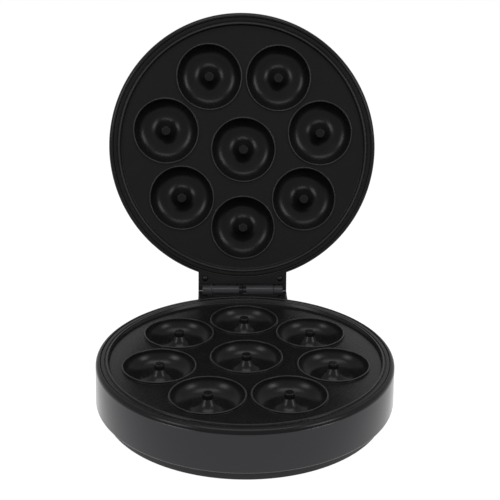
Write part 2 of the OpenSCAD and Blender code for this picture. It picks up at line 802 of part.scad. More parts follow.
base_frame();
base_shell();
bottom_cover();
rubber_feet();
bottom_screws();
base_hinge_screws();
base_hinge_pin();
lower_plate();
lower_plate_screws();
lower_heater();
lower_heater_clips();
lower_reflector();
lower_reflector_screws();
thermostat();
thermostat_screws();
thermal_fuse();
fuse_clip();
terminal_block();
cord_gland();
lid_frame();
lid_shell();
lid_handle();
handle_screws();
lid_hinge_screws();
lid_hinge_pin();
upper_plate();
upper_plate_screws();
upper_heater();
upper_heater_clips();
upper_reflector();
upper_reflector_screws();
power_lens();
ready_lens();
neon_lamps();
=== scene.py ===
"""Looks of a round donut maker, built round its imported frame: cast plates with ring moulds, the
rims and hinge that carry them, the painted base and dome, and the small parts. Run as a script."""
import json
import math

import bmesh
import bpy
from bpy.props import FloatProperty, FloatVectorProperty, IntProperty, PointerProperty
from mathutils import Matrix, Vector
from mathutils.geometry import delaunay_2d_cdt


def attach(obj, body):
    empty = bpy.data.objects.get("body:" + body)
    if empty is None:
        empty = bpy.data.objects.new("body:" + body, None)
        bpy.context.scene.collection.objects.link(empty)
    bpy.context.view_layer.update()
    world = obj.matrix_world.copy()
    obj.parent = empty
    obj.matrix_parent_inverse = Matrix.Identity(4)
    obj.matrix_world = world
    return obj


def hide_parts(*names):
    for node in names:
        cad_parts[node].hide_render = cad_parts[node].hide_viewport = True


bl_info = {
    "name": "Donut maker",
    "version": (1, 0, 0),
    "blender": (4, 5, 0),
    "location": "3D View > Sidebar > Donut maker",
    "description": "Builds the plates, rims, hinge, shells and finishes of a donut maker",
    "category": "Object",
}

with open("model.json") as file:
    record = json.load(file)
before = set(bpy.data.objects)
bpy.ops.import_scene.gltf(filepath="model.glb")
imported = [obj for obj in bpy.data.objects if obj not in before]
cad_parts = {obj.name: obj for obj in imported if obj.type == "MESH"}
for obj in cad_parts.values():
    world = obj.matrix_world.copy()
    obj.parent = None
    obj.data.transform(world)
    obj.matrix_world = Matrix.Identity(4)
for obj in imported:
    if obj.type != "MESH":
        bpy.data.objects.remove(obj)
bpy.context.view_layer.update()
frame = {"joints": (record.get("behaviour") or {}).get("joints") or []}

MM = 0.001
FULL_TURN = 2 * math.pi
AROUND = 256  # sides of the large round pieces
AROUND_MOULD = 80  # sides of one mould
AROUND_KNUCKLE = 72
SMALL_AROUND = 40  # sides of pins and holes
SHARP_DRAWN = math.radians(32)  # edges of a drawn solid that turn more than this stay sharp
SHARP_CUT = math.radians(35)  # the same for a solid that was joined or cut

HINGE = next(j for j in frame["joints"] if j["name"] == "lid_hinge")
HINGE_Y = HINGE["pos_m"][1] / MM
PARTING_H = HINGE["pos_m"][2] / MM
OPEN_ANGLE = math.radians(HINGE["range_deg"][1])

# A half is drawn in millimetres below the plane where base and lid meet. The base is lifted to its
# height, and the lid is the same drawing turned over and swung open about the hinge.
IN_BASE = Matrix.Translation((0, 0, PARTING_H))
IN_LID = (
    Matrix.Translation((0, HINGE_Y, PARTING_H))
    @ Matrix.Rotation(-OPEN_ANGLE, 4, "X")
    @ Matrix.Translation((0, -HINGE_Y, 0))
    @ Matrix.Rotation(math.pi, 4, "Y")
)
ON_TABLE = Matrix.Identity(4)

FIT = 0.3  # clearance between parts that are fitted together
PLAY = 0.04  # gap between neighbours at the hinge
PIN_BORE_R = 1.65  # bore that a hinge pin runs in
PIN_BORE_LEN = 17.7
THREAD_R = 1.45  # hole that a tongue's screw cuts its thread in
CORD_HOLE_R = 5.3
CORD_Z = (10.8 + 4.5 + PARTING_H - 8) / 2  # half way up the straight part of the wall
CORD_TURN = math.radians(28)
PLINTH_ROUND = 1.2  # rounding of the plinth's lower edge
VENT_LEN, VENT_W = 20.0, 3.0
COVER_SCREW_R = 106.5  # circle of the cover's screws
COVER_SCREWS = 6


def size_mm(name, default, description):
    """A length in millimetres that a user may change."""
    return FloatProperty(name=name, description=f"{description}, in mm", default=default, min=0.0)


def srgb(hex_code):
    """An sRGB hex value as linear red, green, blue and alpha."""
    values = [int(hex_code[i : i + 2], 16) / 255 for i in (0, 2, 4)]
    return (*[v / 12.92 if v <= 0.04045 else ((v + 0.055) / 1.055) ** 2.4 for v in values], 1.0)


def colour(name, hex_code, description):
    """A colour that a user may change."""
    return FloatVectorProperty(
        name=name, description=description, default=srgb(hex_code)[:3], size=3, subtype="COLOR",
        min=0, max=1,
    )


class BodySizes(bpy.types.PropertyGroup):
    """Sizes of the rim, the wall and the plinth."""

    rim_r: size_mm("Rim radius", 118.3, "Radius of the wall's top edge")
    wall_flare: size_mm("Wall flare", 1.0, "How much wider the base wall is at its foot")
    wall_t: size_mm("Wall thickness", 2.0, "Thickness of the two shells")
    rim_drop: size_mm("Rim drop", 3.6, "Drop from the parting plane to the shells' edges")
    parting_gap: size_mm("Parting gap", 0.2, "Gap that each half keeps to the parting plane")
    plinth_h: size_mm("Plinth height", 9.0, "Height of the plinth under the wall")
    plinth_inset: size_mm("Plinth inset", 6.1, "How far the plinth is set in from the wall's foot")
    foot_round: size_mm("Foot rounding", 1.5, "Rounding of the wall's foot")
    land_w: size_mm("Land width", 14.0, "Width of the flat land that the base stands on")
    cover_t: size_mm("Cover thickness", 2.4, "Thickness of the bottom cover")
    panel_rise: size_mm("Panel rise", 3.0, "Rise of the bottom panel inside the land")
    rim_w: size_mm("Rim width", 4.0, "Width of the black rim, from the shell's edge to the plate")
    shoulder_w: size_mm("Shoulder width", 3.0, "Width of the rim's rounded shoulder")
    ledge_w: size_mm("Ledge width", 11.6, "Width of the ledge that the plate rests on")
    ledge_t: size_mm("Ledge thickness", 2.5, "Thickness of that ledge")


class PlateSizes(bpy.types.PropertyGroup):
    """Sizes of a cooking plate and its moulds."""

    plate_t: size_mm("Plate thickness", 2.4, "Thickness of the cast plate")
    flat_drop: size_mm("Flat drop", 3.1, "Drop from the parting plane to the flat of the plate")
    flange_w: size_mm("Flange width", 2.8, "Width of the flat flange round the plate")
    groove_w: size_mm("Groove width", 1.2, "Width of the groove inside the flange")
    bead_w: size_mm("Bead width", 1.7, "Width of the raised bead inside the groove")
    mould_count: IntProperty(
        name="Moulds", description="Number of moulds round the middle one", default=7, min=3,
    )
    mould_ring_r: size_mm("Mould ring radius", 70.0, "Radius of the ring that the moulds lie on")
    mould_r: size_mm("Mould radius", 27.6, "Radius of a mould's mouth")
    mould_depth: size_mm("Mould depth", 11.5, "Depth of a mould below its lip")
    floor_t: size_mm("Mould floor", 4.4, "Thickness of a mould's floor, down to the heater")
    post_r: size_mm("Post radius", 4.2, "Radius of the post that makes the donut's hole")
    post_drop: size_mm("Post drop", 0.25, "Drop from the parting plane to the top of a post")
    lip_w: size_mm("Lip width", 1.5, "Width of the lip round a mould")
    lip_h: size_mm("Lip height", 1.7, "Height of that lip above the flat")


class HingeSizes(bpy.types.PropertyGroup):
    """Sizes of the tongues and knuckles."""

    barrel_r: size_mm("Knuckle radius", 4.8, "Radius of the knuckles")
    collar_r: size_mm("Collar radius", 3.0, "Radius of the collar between the long knuckles")
    tongue_hw: size_mm("Tongue half width", 40.0, "Half width of the tongues")
    tongue_t: size_mm("Tongue thickness", 8.0, "Thickness of a tongue")
    barrel_x: size_mm("Long knuckle start", 3.0, "Gap from the middle to each long knuckle")
    barrel_len: size_mm("Long knuckle length", 24.0, "Length of the long knuckle")
    ear_len: size_mm("Short knuckle length", 8.5, "Length of the short knuckle")
    knuckle_gap: size_mm("Knuckle gap", 1.0, "Gap between neighbouring knuckles")
    stop_d: size_mm("Stop distance", 5.8, "Distance from the hinge axis to the stop face")
    stop_gap: size_mm("Stop gap", 0.3, "Gap that is left at the stop")
    lug_len: size_mm("Lug length", 9.2, "Length of the lugs behind the knuckles")
    block_h: size_mm("Block height", 10.0, "Height of the shell's block under the tongue")
    screw_head_r: size_mm("Screw head radius", 2.3, "Radius of a screw's head")
    screw_head_h: size_mm("Screw head height", 1.5, "Height of a screw's head")


class LidSizes(bpy.types.PropertyGroup):
    """Sizes of the dome and what is on it."""

    dome_h: size_mm("Dome height", 40.0, "Height of the dome above the parting plane")
    dome_pow: FloatProperty(
        name="Dome fullness", description="Exponent of the dome's curve", default=0.8,
    )
    handle_r: size_mm("Handle radius", 92.0, "Radius of the handle's centre line")
    handle_w: size_mm("Handle width", 16.0, "Radial width of the handle")
    handle_t: size_mm("Handle thickness", 9.0, "Thickness of the handle")
    handle_gap: size_mm("Handle gap", 15.7, "Clear height under the handle")
    handle_deg: FloatProperty(
        name="Handle span", description="Angle that the handle spans, in degrees", default=40.0,
    )
    lens_r: size_mm("Lens radius", 4.0, "Radius of the indicator lenses")
    lens_y: size_mm("Lens place", 55.0, "Distance of the lenses in front of the lid's centre")
    lens_x: size_mm("Lens half spacing", 11.0, "Half distance between the lenses")


class Finishes(bpy.types.PropertyGroup):
    """Colours of the finishes."""

    coating: colour("Non-stick coating", "101011", "Coating of the cooking plates")
    moulding: colour("Black moulding", "101011", "Rims, hinge and handle")
    paint: colour("Grey paint", "1a1820", "Wall and dome")
    plinth: colour("Plinth", "1c1c1d", "Bottom cover")
    backdrop: colour("Backdrop", "ffffff", "Floor and backdrop")


def sizes():
    """The add-on's settings, as kept on the scene."""
    return bpy.context.scene.donut_maker


# ---------------------------------------------------------------- meshes


def fan(start, end, steps):
    """Angles in equal steps between two that are given in degrees, both included."""
    return [math.radians(start + (end - start) * i / steps) for i in range(steps + 1)]


def polar(radius, angle, x=0.0, y=0.0):
    """The point at an angle of a circle."""
    return x + radius * math.cos(angle), y + radius * math.sin(angle)


def rounded(corners, steps=6):
    """A side profile from corners (r, z, radius), each an arc that its sides have room for."""
    points = [(r, z) for r, z, _ in corners]
    made = [points[0]]
    for i in range(1, len(corners) - 1):
        here = Vector(points[i])
        back, ahead = Vector(points[i - 1]) - here, Vector(points[i + 1]) - here
        radius = corners[i][2]
        half = back.angle(ahead, math.pi) / 2 if back.length and ahead.length else math.pi / 2
        if radius <= 0 or half > math.radians(89.5):
            made.append(tuple(here))
            continue
        cut = min(radius / math.tan(half), 0.48 * back.length, 0.48 * ahead.length)
        radius = cut * math.tan(half)
        middle = (back.normalized() + ahead.normalized()).normalized()
        centre = here + middle * (radius / math.sin(half))
        start, end = here + back.normalized() * cut, here + ahead.normalized() * cut
        a0 = math.atan2(*(start - centre).yx)
        turn = (math.atan2(*(end - centre).yx) - a0 + math.pi) % FULL_TURN - math.pi
        made += [polar(radius, a0 + turn * k / steps, *centre) for k in range(steps + 1)]
    made.append(points[-1])
    return made


def closed_profile(corners, steps=6):
    """A closed side profile: it starts and ends in the middle of its last side."""
    (r0, z0, _), (r1, z1, _) = corners[-1], corners[0]
    middle = ((r0 + r1) / 2, (z0 + z1) / 2, 0)
    return rounded([middle, *corners, middle], steps)[:-1]


def rounded_loop(corners, steps=4):
    """A closed outline from corners with radii, of which the first one stays sharp."""
    return rounded([*corners, corners[0]], steps)[:-1]


def lathe(mesh, profile, around, closed=False):
    """Adds a solid of revolution to a bmesh. A profile point on the axis is one vertex."""
    rings = []
    for r, z in profile:
        if r < 1e-6:
            rings.append([mesh.verts.new((0, 0, z))] * around)
        else:
            rings.append([
                mesh.verts.new((*polar(r, FULL_TURN * i / around), z)) for i in range(around)
            ])
    for a, b in zip(rings, rings[1:] + rings[:1] if closed else rings[1:]):
        for i in range(around):
            j = (i + 1) % around
            corners = list(dict.fromkeys((a[i], a[j], b[j], b[i])))
            if len(corners) > 2:
                mesh.faces.new(corners)


def skin(mesh, outlines, clockwise=False):
    """Adds a closed solid through outlines that have as many points each, and that run
    anticlockwise, or else clockwise, as seen from the last one."""
    loops = [[mesh.verts.new(point) for point in outline] for outline in outlines]
    mesh.faces.new(loops[0] if clockwise else loops[0][::-1])
    mesh.faces.new(loops[-1][::-1] if clockwise else loops[-1])
    for a, b in zip(loops, loops[1:]):
        for i in range(len(a)):
            j = (i + 1) % len(a)
            mesh.faces.new((a[i], b[i], b[j], a[j]) if clockwise else (a[i], a[j], b[j], b[i]))


def block(mesh, low, high):
    """Adds a closed box between two corners."""
    (_, y0, z0), (_, y1, z1) = low, high
    skin(mesh, [[(x, y0, z0), (x, y1, z0), (x, y1, z1), (x, y0, z1)] for x in (low[0], high[0])])


def drum(mesh, place, radius, low, high):
    """Adds a closed cylinder along the z of a place."""
    known = set(mesh.verts)
    lathe(mesh, [(0, low), (radius, low), (radius, high), (0, high)], SMALL_AROUND)
    bmesh.ops.transform(mesh, matrix=place, verts=[v for v in mesh.verts if v not in known])


def to_object(mesh, name):
    """Turns a bmesh into an object, smooth but for its sharp edges. The bmesh is freed."""
    bmesh.ops.remove_doubles(mesh, verts=mesh.verts, dist=1e-4)
    bmesh.ops.recalc_face_normals(mesh, faces=mesh.faces)
    data = bpy.data.meshes.new(name)
    mesh.to_mesh(data)
    mesh.free()
    data.shade_smooth()
    data.set_sharp_from_angle(angle=SHARP_DRAWN)
    made = bpy.data.objects.new(name, data)
    bpy.context.scene.collection.objects.link(made)
    return made


def solid(name, build):
    """An object from a function that fills a bmesh."""
    mesh = bmesh.new()
    build(mesh)
    return to_object(mesh, name)


def turned_solid(name, profile, around=AROUND, closed=False):
    """A solid of revolution from its side profile."""
    return solid(name, lambda mesh: lathe(mesh, profile, around, closed))


def cylinder(name, radius, low, high, place=ON_TABLE):
    """A cylinder along the z of a place."""
    return solid(name, lambda mesh: drum(mesh, place, radius, low, high))


def at(x, y, z=0.0):
    """A place that is only moved."""
    return Matrix.Translation((x, y, z))


def applied(made):
    """Applies all modifiers of an object."""
    graph = bpy.context.evaluated_depsgraph_get()
    data = bpy.data.meshes.new_from_object(made.evaluated_get(graph), depsgraph=graph)
    made.modifiers.clear()
    old, made.data = made.data, data
    bpy.data.meshes.remove(old)
    return made


def combined(made, others, operation):
    """Joins solids to, or cuts them from, an object, and removes them."""
    for other in others:
        step = made.modifiers.new(other.name, "BOOLEAN")
        step.operation, step.object, step.solver = operation, other, "EXACT"
        applied(made)
        bpy.data.objects.remove(other)
    made.data.set_sharp_from_angle(angle=SHARP_CUT)
    return made


def softened(made, width):
    """Rounds an object's sharp edges by a width in millimetres."""
    step = made.modifiers.new("edges", "BEVEL")
    step.width, step.segments, step.limit_method = width, 3, "ANGLE"
    step.angle_limit = math.radians(40)
    applied(made)
    made.data.shade_smooth()
    made.data.set_sharp_from_angle(angle=SHARP_CUT)
    return made


def coated(made, finish_name):
    """Gives an object one finish and no other."""
    made.data.materials.clear()
    made.data.materials.append(bpy.data.materials[finish_name])


def finished(made, place, body, slot, finish_name, node):
    """Puts a drawn piece in its place in metres, and on its body, finish and CAD node; slot is not
    used.
    """
    made.data.transform(Matrix.Scale(MM, 4) @ place)
    made.data.update()
    coated(made, finish_name)
    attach(made, body)
    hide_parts(node)
    return made


# ---------------------------------------------------------------- patterns


def add(tree, kind, inputs=None, **settings):
    """Adds a node with its settings, its values and the links that come into it."""
    node = tree.nodes.new(kind)
    for name, value in settings.items():
        setattr(node, name, value)
    for name, value in (inputs or {}).items():
        socket = node.inputs[name]
        if isinstance(value, bpy.types.NodeSocket):
            tree.links.new(value, socket)
        else:
            socket.default_value = value
    return node


def pattern_tree(name, points, sockets):
    """A Geometry Nodes tree that puts copies of an object on points, turned outwards."""
    tree = bpy.data.node_groups.new(name, "GeometryNodeTree")
    kinds = {"Copy": "NodeSocketObject", "Material": "NodeSocketMaterial", **sockets}
    for label, kind in kinds.items():
        tree.interface.new_socket(name=label, in_out="INPUT", socket_type=kind)
    tree.interface.new_socket(name="Geometry", in_out="OUTPUT", socket_type="NodeSocketGeometry")
    given = add(tree, "NodeGroupInput").outputs
    copy = add(tree, "GeometryNodeObjectInfo", {"Object": given["Copy"]})
    place = add(tree, "GeometryNodeInputPosition")
    turn = add(tree, "FunctionNodeAlignRotationToVector", {"Vector": place.outputs[0]}, axis="X")
    copies = add(tree, "GeometryNodeInstanceOnPoints", {
        "Points": points(tree, given), "Instance": copy.outputs["Geometry"],
        "Rotation": turn.outputs[0],
    })
    real = add(tree, "GeometryNodeRealizeInstances", {"Geometry": copies.outputs[0]})
    coat = add(tree, "GeometryNodeSetMaterial", {
        "Geometry": real.outputs[0], "Material": given["Material"],
    })
    add(tree, "NodeGroupOutput", {"Geometry": coat.outputs[0]})
    return tree


def ring_points(tree, given):
    """Points on a circle, with one more in the middle where that is asked for."""
    circle = add(tree, "GeometryNodeMeshCircle", {
        "Vertices": given["Count"], "Radius": given["Radius"],
    })
    angle = add(tree, "ShaderNodeCombineXYZ", {"Z": given["First angle"]})
    turned = add(tree, "GeometryNodeTransform", {
        "Geometry": circle.outputs[0], "Rotation": angle.outputs[0],
    })
    middle = add(tree, "GeometryNodeMeshLine", {"Count": 1})
    chosen = add(tree, "GeometryNodeSwitch", {
        "Switch": given["Middle one"], "True": middle.outputs[0],
    }, input_type="GEOMETRY")
    joined = add(tree, "GeometryNodeJoinGeometry", {"Geometry": turned.outputs[0]})
    tree.links.new(chosen.outputs[0], joined.inputs[0])
    return joined.outputs[0]


def row_points(tree, given):
    """Points in a row along x."""
    step = add(tree, "ShaderNodeCombineXYZ", {"X": given["Spacing"]})
    first = add(tree, "ShaderNodeCombineXYZ", {"X": given["Start x"], "Y": given["Start y"]})
    line = add(tree, "GeometryNodeMeshLine", {
        "Count": given["Count"], "Start Location": first.outputs[0], "Offset": step.outputs[0],
    })
    return line.outputs[0]


RING = {"Count": "NodeSocketInt", "Radius": "NodeSocketFloat", "First angle": "NodeSocketFloat",
        "Middle one": "NodeSocketBool"}
ROW = {"Count": "NodeSocketInt", "Start x": "NodeSocketFloat", "Start y": "NodeSocketFloat",
       "Spacing": "NodeSocketFloat"}


def repeated(name, copy, finish_name, kind, **values):
    """Copies of an object by a ring or row pattern, as one plain mesh. The copy is removed."""
    points, sockets = {"ring": (ring_points, RING), "row": (row_points, ROW)}[kind]
    label = f"{kind}_pattern"
    tree = bpy.data.node_groups.get(label) or pattern_tree(label, points, sockets)
    made = bpy.data.objects.new(name, bpy.data.meshes.new(name))
    bpy.context.scene.collection.objects.link(made)
    step = made.modifiers.new("copies", "NODES")
    step.node_group = tree
    values = {"Copy": copy, "Material": bpy.data.materials[finish_name], **values}
    for item in tree.interface.items_tree:
        if item.in_out == "INPUT":
            step[item.identifier] = values[item.name]
    made.update_tag()
    bpy.context.view_layer.update()
    applied(made)
    bpy.data.objects.remove(copy)
    return made


def ring_of(name, copy, finish_name, count, radius, first_angle=0.0, middle_one=False):
    """Copies of an object by the ring pattern."""
    return repeated(name, copy, finish_name, "ring", **{
        "Count": count, "Radius": radius, "First angle": first_angle, "Middle one": middle_one,
    })


# ---------------------------------------------------------------- finishes


def vector_value(tree, operation, first, second):
    """The value that a vector math node gives."""
    node = add(tree, "ShaderNodeVectorMath", {0: first, 1: second}, operation=operation)
    return node.outputs["Value"]


def crest_highlight_bands(tree, place):
    """Bands of height at the crests of lips and bead, measured in each half's own drawing, which
    get a painted highlight.
    """
    plate, gap = sizes().plate, sizes().body.parting_gap
    for half in (IN_BASE, IN_LID):
        up = half.to_3x3() @ Vector((0, 0, 1))
        height = vector_value(tree, "DOT_PRODUCT", place, up)
        zero = up.dot(half.translation)
        yield height, zero + plate.lip_h - plate.flat_drop, 0.13
        yield height, zero - gap, 0.04


def knuckle_highlight_band(tree, place):
    """The band of distance from the hinge axis where the skin of the knuckles is, which gets a
    painted highlight.
    """
    flat = add(tree, "ShaderNodeVectorMath", {0: place, 1: (0, 1, 1)}, operation="MULTIPLY")
    axis = (0, HINGE_Y * MM, PARTING_H * MM)
    far = vector_value(tree, "DISTANCE", flat.outputs[0], axis)
    yield far, sizes().hinge.barrel_r, 0.12


def finish(name, tone, rough, grain, relief, cloud=30.0, shade=0.06, spread=0.05, painted_highlight=None,
           **sockets):
    """A finish with a grain and a relief in mm, on clouds of slightly other shade and gloss.
    Painted highlight is a lighter tone painted where a highlight falls, and the function that finds
    its bands."""
    made = bpy.data.materials.new(name)
    made.use_nodes = True
    tree = made.node_tree
    tree.nodes.clear()
    place = add(tree, "ShaderNodeTexCoord").outputs["Object"]
    clouds = add(tree, "ShaderNodeTexNoise", {
        "Vector": place, "Scale": 1 / (cloud * MM), "Detail": 4.0, "Roughness": 0.6,
    }).outputs["Fac"]
    grains = add(tree, "ShaderNodeTexNoise", {
        "Vector": place, "Scale": 1 / (grain * MM), "Detail": 3.0, "Roughness": 0.55,
    }).outputs["Fac"]
    both = add(tree, "ShaderNodeMath", {0: clouds, 1: grains}, operation="ADD").outputs[0]

    def spanned(low, high):
        """The usual span of clouds and grain, as another span."""
        return add(tree, "ShaderNodeMapRange", {
            "Value": both, "From Min": 0.7, "From Max": 1.3, "To Min": low, "To Max": high,
        }).outputs[0]

    shown = add(tree, "ShaderNodeVectorMath", {
        0: tuple(tone[:3]), "Scale": spanned(1 - shade, 1 + shade),
    }, operation="SCALE").outputs[0]
    # Painted highlight: a lighter tone mixed in on the bands that the given function finds.
    if painted_highlight:
        for found, middle, reach in painted_highlight[1](tree, place):
            near = add(tree, "ShaderNodeMath", {0: found, 1: middle * MM, 2: reach * MM},
                       operation="COMPARE").outputs[0]
            shown = add(tree, "ShaderNodeMixRGB", {
                "Fac": near, "Color1": shown, "Color2": painted_highlight[0],
            }).outputs[0]
    bump = add(tree, "ShaderNodeBump", {
        "Height": grains, "Strength": 0.5, "Distance": relief * MM,
    })
    shader = add(tree, "ShaderNodeBsdfPrincipled", {
        "Base Color": shown, "Roughness": spanned(max(0.02, rough - spread), rough + spread),
        "Normal": bump.outputs[0], **sockets,
    })
    add(tree, "ShaderNodeOutputMaterial", {"Surface": shader.outputs[0]})
    return made


def make_finishes():
    """Every finish of the object."""
    tones = sizes().finishes
    # PTFE coating sprayed on die-cast aluminium: black, with a faint pebble of about a millimetre,
    # and a low sheen. The crests of the lips and of the bead are painted greyer, a painted
    # highlight for the light that those round crests catch.
    finish("nonstick_coating", tones.coating, 0.26, 0.9, 0.10, cloud=22, shade=0.10, IOR=1.195,
           painted_highlight=(srgb("292929"), crest_highlight_bands))
    # Phenolic moulding: hard black thermoset with a satin skin that dulls in soft patches. The
    # knuckles are painted greyer all round, a painted highlight for the streak of light along them.
    finish("satin_phenolic", tones.moulding, 0.23, 1.2, 0.015, cloud=18, shade=0.08, IOR=1.20,
           painted_highlight=(srgb("2a2a2d"), knuckle_highlight_band))
    # Polypropylene painted in gloss dark grey: smooth, with a slight orange peel.
    finish("gloss_grey_paint", tones.paint, 0.16, 2.2, 0.006, cloud=60, shade=0.03, spread=0.03,
           IOR=1.42)
    # The same plastic unpainted: satin, with a fine spark-eroded texture.
    finish("satin_grey_plastic", tones.plinth, 0.42, 0.8, 0.03, cloud=25, shade=0.06, IOR=1.36)
    # Zinc plated steel screws and pins: bright, with slight clouding of the plating.
    finish("zinc_plated_steel", srgb("b9bab8"), 0.30, 0.8, 0.01, cloud=4, shade=0.10, Metallic=1.0)
    # Blackened steel screws of the hinge: dark oxide with a dull shine.
    finish("black_oxide_steel", srgb("2b2b2c"), 0.36, 0.6, 0.01, cloud=3, shade=0.12, Metallic=1.0)
    # Aluminised sheet: pressed, with a dull spangle.
    finish("aluminised_sheet", srgb("a9aaa6"), 0.42, 2.5, 0.02, cloud=8, shade=0.14, Metallic=1.0)
    # Heater sheath: steel tube, brown and dull from heat.
    finish("heat_tinted_steel", srgb("7c6f62"), 0.48, 1.5, 0.02, cloud=10, shade=0.22, Metallic=1.0)
    # Rubber feet: matt black with a fine moulded grain.
    finish("matt_rubber", srgb("262626"), 0.75, 0.7, 0.04, cloud=6, shade=0.10, IOR=1.5)
    # Steatite ceramic of the terminal block and the thermostat: off-white, unglazed.
    finish("steatite", srgb("ddd8cb"), 0.62, 0.6, 0.03, cloud=7, shade=0.05, IOR=1.55)
    # Brass can of the thermal fuse: warm, lightly dulled.
    finish("dull_brass", srgb("b39a63"), 0.38, 0.8, 0.01, cloud=4, shade=0.12, Metallic=1.0)
    # Polycarbonate lenses: clear coloured plastic with a polished face.
    for name, tone in (("red_polycarbonate", "a51d18"), ("green_polycarbonate", "1c8a3c")):
        finish(name, srgb(tone), 0.10, 1.5, 0.004, cloud=6, shade=0.05, spread=0.03,
               IOR=1.58, **{"Transmission Weight": 0.55})
    # Glass of the neon lamps: clear, faintly warm.
    finish("neon_glass", srgb("f2dcc4"), 0.06, 2.0, 0.002, cloud=6, shade=0.02, spread=0.02,
           IOR=1.5, **{"Transmission Weight": 0.8})


NODE_FINISHES = {
    "satin_phenolic": ("base_frame", "lid_frame", "lid_handle", "cord_gland"),
    "gloss_grey_paint": ("base_shell", "lid_shell"),
    "satin_grey_plastic": ("bottom_cover",),
    "nonstick_coating": ("lower_plate", "upper_plate"),
    "matt_rubber": ("rubber_feet",),
    "zinc_plated_steel": (
        "bottom_screws", "base_hinge_pin", "lower_plate_screws", "lower_reflector_screws",
        "thermostat_screws", "handle_screws", "lid_hinge_pin", "upper_plate_screws",
        "upper_reflector_screws",
    ),
    "black_oxide_steel": ("base_hinge_screws", "lid_hinge_screws"),
    "aluminised_sheet": (
        "lower_heater_clips", "lower_reflector", "fuse_clip", "upper_heater_clips",
        "upper_reflector",
    ),
    "heat_tinted_steel": ("lower_heater", "upper_heater"),
    "steatite": ("thermostat", "terminal_block"),
    "dull_brass": ("thermal_fuse",),
    "red_polycarbonate": ("power_lens",),
    "green_polycarbonate": ("ready_lens",),
    "neon_glass": ("neon_lamps",),
}


class DONUT_OT_finishes(bpy.types.Operator):
    """Make the finishes and give them to the inner parts"""

    bl_idname = "donut_maker.finishes"
    bl_label = "Finishes"

    def execute(self, context):
        make_finishes()
        for name, nodes in NODE_FINISHES.items():
            for node in nodes:
                coated(bpy.data.objects[node], name)
        return {"FINISHED"}


# ---------------------------------------------------------------- cooking plates

FLAT_RING = 0.3  # flat border that keeps the shading of the field even
LIP_FOOT = 0.55  # fillet at the foot of a mould's lip
POST_CONE = math.radians(59.5)  # slope of the cone that a post stands on
TROUGH = (8, 151)  # degrees of the round of a mould, from its lip to the cone
UNDERSIDE_END = 118  # degrees where the round below it ends
PADS_AT = (-110.5, -69.5)  # degrees where the casting's two pads are
PAD_LEVELS = ((2.0, -0.9), (2.0, -0.38), (1.86, -0.28))  # half width in degrees, and height


def mould_centres():
    """Places of the moulds with the angle that each is turned by, the middle one first."""
    size = sizes().plate
    turns = [math.pi / 2 + FULL_TURN * i / size.mould_count for i in range(size.mould_count)]
    return [(0, 0, 0.0)] + [(*polar(size.mould_ring_r, a), a) for a in turns]


def mould_surfaces(mesh):
    """Upper and lower surface of one mould, each with a flat border."""
    size = sizes().plate
    flat, seat = -size.flat_drop, -size.flat_drop - size.plate_t
    lip_z, post_z = flat + size.lip_h, -size.post_drop
    lip_r = size.mould_r + size.lip_w
    mid, half = (size.mould_r + size.post_r) / 2, (size.mould_r - size.post_r) / 2
    trough = [
        (mid + half * math.cos(a), lip_z - size.mould_depth * math.sin(a), 0)
        for a in fan(*TROUGH, 30)
    ]
    foot_r, foot_z, _ = trough[-1]
    neck_z = foot_z + (foot_r - size.post_r) * math.tan(POST_CONE)
    top = rounded([
        (lip_r + LIP_FOOT + FLAT_RING, flat, 0), (lip_r + LIP_FOOT, flat, 0),
        (lip_r, flat, LIP_FOOT), (lip_r - 0.05, lip_z, 0.75), (size.mould_r + 0.05, lip_z, 0.75),
        *trough, (size.post_r, neck_z, 1.2), (size.post_r - 0.3, post_z, 0.7), (1.5, post_z, 0),
        (0, post_z, 0),
    ])
    wall, depth = 0.6 * size.plate_t, size.mould_depth + size.floor_t
    start = math.degrees(math.asin((lip_z - seat) / depth))
    below = [
        (mid + (half + wall) * math.cos(a), lip_z - depth * math.sin(a), 0)
        for a in fan(start, UNDERSIDE_END, 16)
    ]
    rim_r, hub_z = below[0][0], below[-1][1]
    bottom = rounded([
        (rim_r + 0.9, seat, 0), (rim_r + 0.6, seat, 0), (rim_r, seat, 0.6), *below[1:],
        (mid * 0.32, hub_z + 4.1, 2.0), (0, hub_z + 4.9, 0),
    ])
    lathe(mesh, top, AROUND_MOULD)
    lathe(mesh, bottom, AROUND_MOULD)
    return top[0][0], bottom[0][0]


def field(mesh, z, outer_r, hole_r):
    """Flat field between a circle and the moulds' borders."""
    circles = [(0, 0, 0.0, outer_r, AROUND)]
    circles += [(*centre, hole_r, AROUND_MOULD) for centre in mould_centres()]
    points, edges = [], []
    for x, y, turn, radius, around in circles:
        first = len(points)
        angles = [turn + FULL_TURN * i / around for i in range(around)]
        points += [Vector(polar(radius, a, x, y)) for a in angles]
        edges += [(first + i, first + (i + 1) % around) for i in range(around)]
    found = delaunay_2d_cdt(points, edges, [], 0, 1e-6)
    verts = [mesh.verts.new((*point, z)) for point in found[0]]
    for face in found[2]:
        x, y = (sum(found[0][i][k] for i in face) / len(face) for k in (0, 1))
        clear = [math.hypot(x - a, y - b) > hole_r * 0.999 for a, b, *_ in circles[1:]]
        if math.hypot(x, y) < outer_r and all(clear):
            mesh.faces.new([verts[i] for i in face])


def plate_rim(mesh):
    """Rim of a plate: bead, groove, flange and edge, open at its inner borders."""
    body, size = sizes().body, sizes().plate
    flat, seat = -size.flat_drop, -size.flat_drop - size.plate_t
    edge = body.rim_r - body.rim_w
    bead = edge - size.flange_w - size.groove_w
    inner = bead - size.bead_w
    profile = rounded(
        [(inner - 2.6, flat, 0), (inner - 2.2, flat, 0), (inner - 1.0, flat, 0.7),
         (inner + 0.1, -body.parting_gap, 0.75), (bead - 0.05, -body.parting_gap, 0.75),
         (bead + 0.35, -1.1, 0.25), (bead + size.groove_w - 0.25, -1.1, 0.25),
         (bead + size.groove_w, -0.55, 0.2), (edge - 0.05, -0.55, 0.3), (edge, seat, 0.4),
         (edge - 1.6, seat, 0), (edge - 2.0, seat, 0)],
    )
    lathe(mesh, profile, AROUND)
    return profile[0][0], profile[-1][0]


